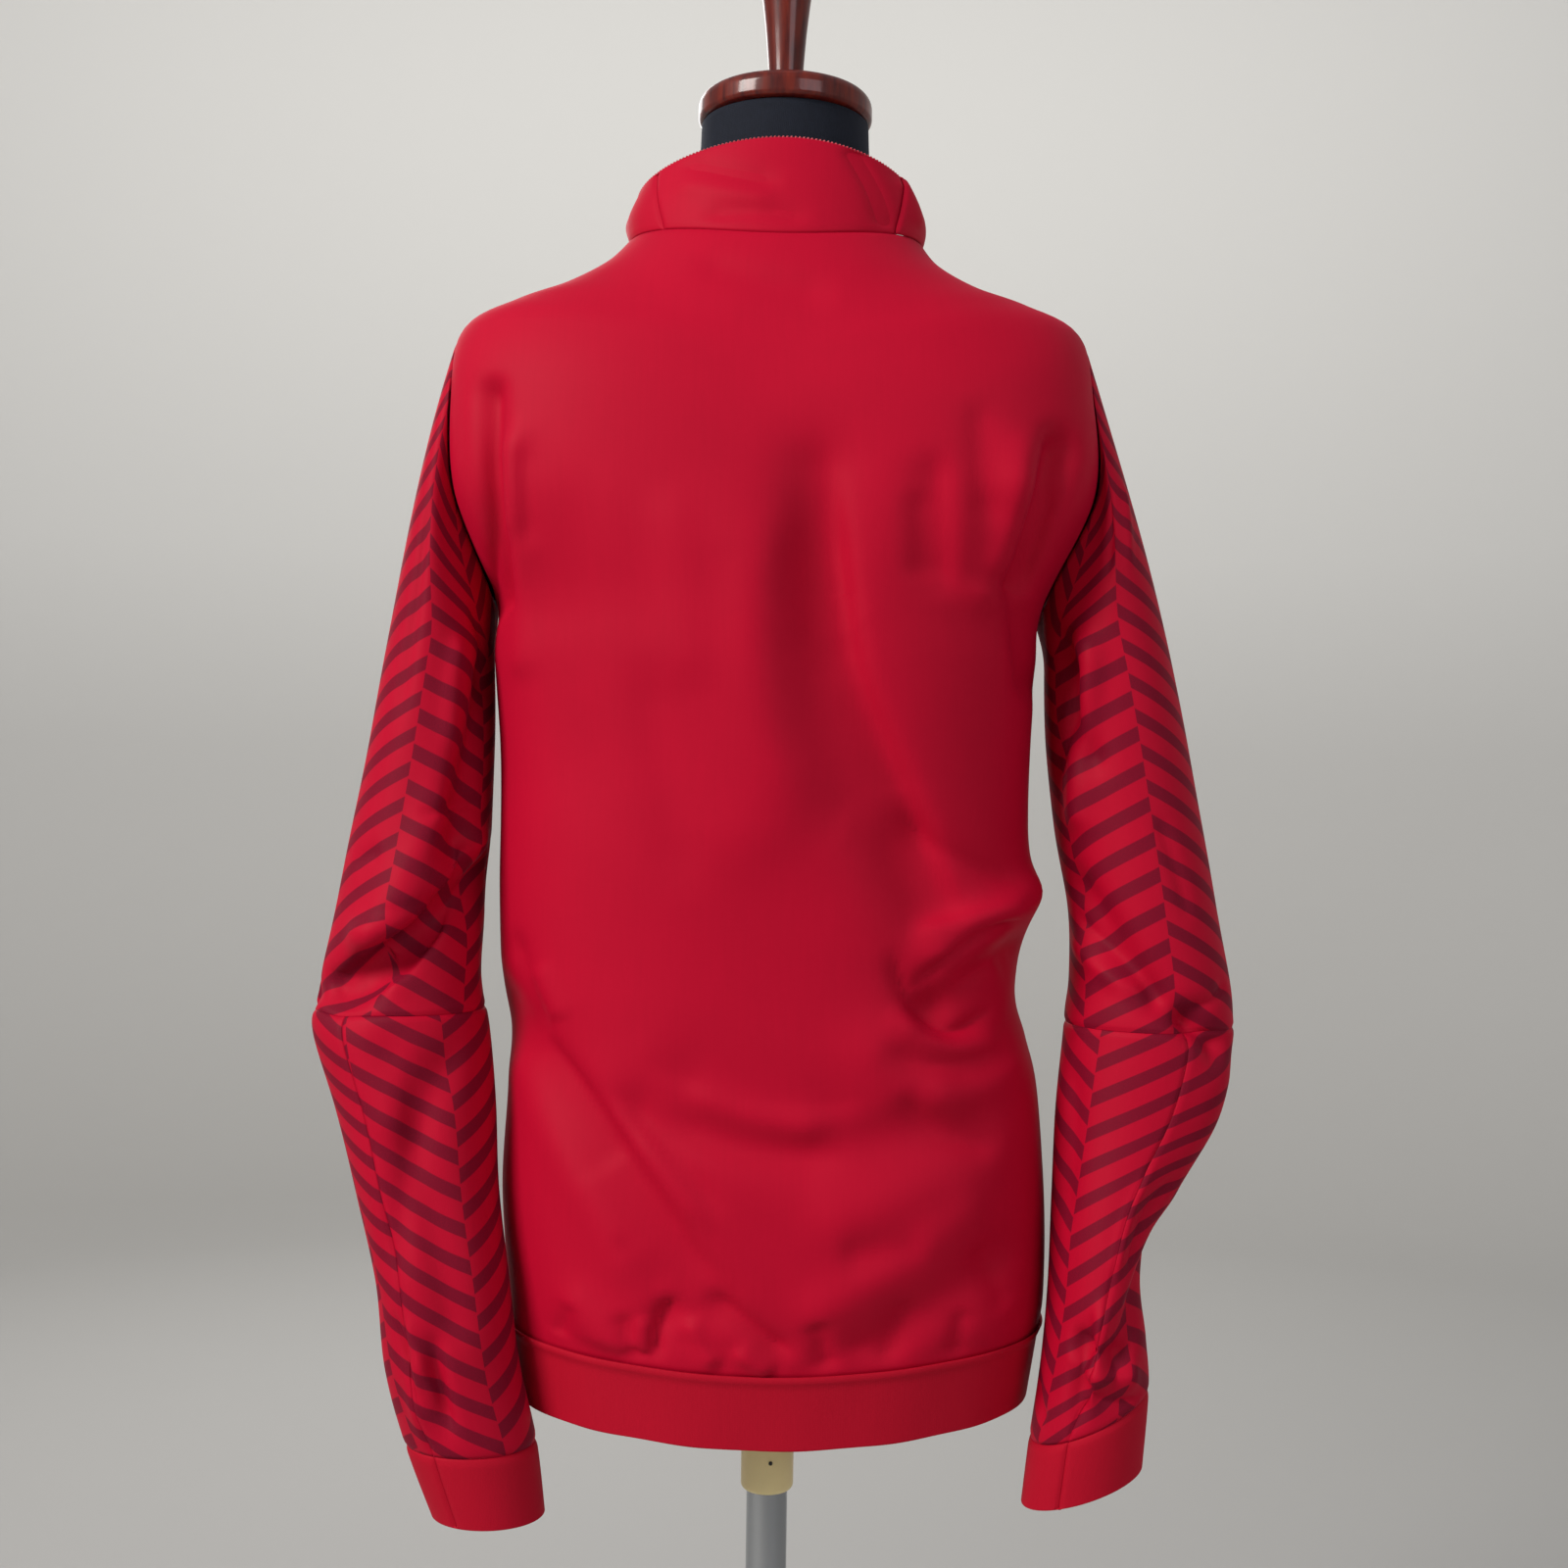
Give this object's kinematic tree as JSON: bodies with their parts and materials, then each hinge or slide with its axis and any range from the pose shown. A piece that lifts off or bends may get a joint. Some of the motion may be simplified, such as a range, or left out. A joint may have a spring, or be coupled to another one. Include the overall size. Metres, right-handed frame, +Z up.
{
  "type": "track jacket on a limbless dress form with a pole stand",
  "caption": "Zip-front track jacket with a stand-up collar, printed sleeves and plain bands, worn by a limbless dress form on a round-based pole stand.",
  "frame": {"origin": "on the floor, at the centre of the underside of the stand's base, below the pole", "axes": "+Z up along the pole; the front of the jacket faces -Y; +X is the wearer's left"},
  "size_m": [0.5461, 0.37, 1.6236],
  "materials": {
    "body_knit": "smooth polyester warp knit with a soft sheen",
    "band_knit": "smooth double knit",
    "printed_knit": "smooth polyester warp knit, printed tone on tone",
    "zip_tape": "woven tape with moulded teeth",
    "zip_metal": "plated die casting",
    "form_cloth": "matt jersey stretched over the form",
    "varnished_wood": "turned, stained and gloss varnished",
    "socket_plastic": "moulded, cream",
    "pole_chrome": "polished chrome plate",
    "base_iron": "cast, powder coated black"
  },
  "bodies": {
    "root": {"back_panel": "body_knit", "front_left": "body_knit", "front_right": "body_knit", "collar_back": "body_knit", "collar_left": "body_knit", "collar_right": "body_knit", "hem_band": "band_knit", "zip_tape_left": "zip_tape", "zip_tape_right": "zip_tape", "sleeve_upper_left": "printed_knit", "forearm_outer_left": "printed_knit", "forearm_inner_left": "printed_knit", "cuff_left": "band_knit", "sleeve_upper_right": "printed_knit", "forearm_outer_right": "printed_knit", "forearm_inner_right": "printed_knit", "cuff_right": "band_knit", "zip_slider": "zip_metal", "form_trunk": "form_cloth", "neck_cap": "varnished_wood", "finial": "varnished_wood", "pole_socket": "socket_plastic", "pole": "pole_chrome", "stand_base": "base_iron"},
    "pull_tab": {"zip_pull": "zip_metal"}
  },
  "joints": [
    {"name": "pull_hinge", "type": "hinge", "parent": "root", "child": "pull_tab", "pos_m": [0, -0.10809, 1.30369], "axis": [-1, 0, 0], "range_deg": [0, 150]}
  ]
}
